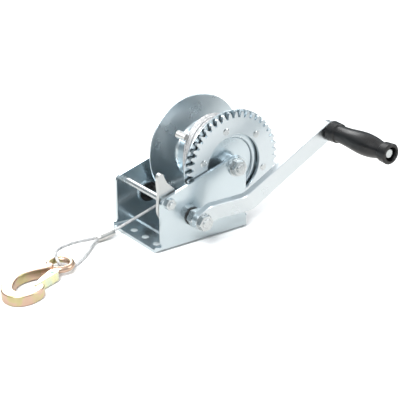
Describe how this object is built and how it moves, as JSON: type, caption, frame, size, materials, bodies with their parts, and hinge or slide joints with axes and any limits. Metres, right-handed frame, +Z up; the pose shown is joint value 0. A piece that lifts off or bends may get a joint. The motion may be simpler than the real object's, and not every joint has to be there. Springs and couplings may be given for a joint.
{
  "type": "boat trailer winch",
  "caption": "Geared hand winch: channel frame, rope drum with ring gear, cranked handle with turning grip, two-way pawl, wire rope and latched hook.",
  "frame": {"origin": "centre of the middle one of the three front mounting holes, on the underside of the base", "axes": "+X back from the rope side, +Y along the drum away from the crank, +Z up out of the base"},
  "size_m": [0.4453, 0.269, 0.1563],
  "materials": {
    "frame_zinc": "bright zinc plate on pressed sheet",
    "drum_zinc": "bright zinc plate",
    "gear_zinc": "zinc plate on stamped teeth",
    "arm_zinc": "zinc plate on bent bar",
    "pawl_zinc": "zinc plate, dull",
    "fastener_zinc": "zinc plated fasteners",
    "bush_nylon": "black nylon",
    "grip_plastic": "black moulded plastic, satin",
    "wire_rope": "galvanised stranded wire",
    "ferrule_alu": "pressed aluminium",
    "hook_chromate": "yellow chromate on forged steel",
    "latch_chromate": "yellow chromate on thin sheet"
  },
  "bodies": {
    "base": {"frame": "frame_zinc", "axle_bolt": "fastener_zinc", "axle_washers": "fastener_zinc", "axle_nut": "fastener_zinc", "axle_sleeve": "fastener_zinc", "near_bush": "bush_nylon", "far_bush": "bush_nylon", "tie_rod": "fastener_zinc", "tie_nuts": "fastener_zinc", "pawl_washer": "fastener_zinc", "pawl_clip": "fastener_zinc", "rope_last_turn": "wire_rope", "rope_lead": "wire_rope", "rope_eye": "wire_rope", "ferrule": "ferrule_alu"},
    "drum": {"near_flange": "drum_zinc", "far_flange": "drum_zinc", "drum_hub": "drum_zinc", "gear_plate": "gear_zinc", "gear_rivets": "fastener_zinc", "rope_winding": "wire_rope", "rope_stop": "ferrule_alu"},
    "crank": {"drive_shaft": "fastener_zinc", "pinion": "gear_zinc", "shaft_collar": "fastener_zinc", "crank_arm": "arm_zinc", "crank_washer": "fastener_zinc", "crank_nut": "fastener_zinc", "grip_spindle": "fastener_zinc", "grip_washer": "fastener_zinc"},
    "grip": {"grip": "grip_plastic"},
    "pawl": {"pawl": "pawl_zinc"},
    "hook": {"hook": "hook_chromate", "latch_pin": "latch_chromate", "latch_spring": "fastener_zinc"},
    "latch": {"latch": "latch_chromate"}
  },
  "joints": [
    {"name": "drum_spin", "type": "hinge", "parent": "base", "child": "drum", "pos_m": [0.108, 0, 0.0855], "axis": [0, 1, 0], "continuous": true},
    {"name": "crank_spin", "type": "hinge", "parent": "base", "child": "crank", "pos_m": [0.04177, -0.035, 0.03631], "axis": [0, 1, 0], "continuous": true},
    {"name": "grip_spin", "type": "hinge", "parent": "crank", "child": "grip", "pos_m": [0.21309, -0.15, 0.12626], "axis": [0, 1, 0], "continuous": true},
    {"name": "pawl_pivot", "type": "hinge", "parent": "base", "child": "pawl", "pos_m": [0.0075, -0.034, 0.061], "axis": [0, 1, 0], "range_deg": [-10, 10]},
    {"name": "hook_swing", "type": "hinge", "parent": "base", "child": "hook", "pos_m": [-0.128, -0.014, 0.00835], "axis": [-0.0202, -0.0073, 0.9998], "range_deg": [-20, 20]},
    {"name": "latch_pivot", "type": "hinge", "parent": "hook", "child": "latch", "pos_m": [-0.14813, -0.03324, 0.0078], "axis": [0.0202, 0.0073, -0.9998], "range_deg": [0, 34], "stiffness_Nm_per_rad": 0.02, "springref_deg": -17.19}
  ],
  "couplings": [
    {"joint": "crank_spin", "follows": "drum_spin", "ratio": -4}
  ]
}
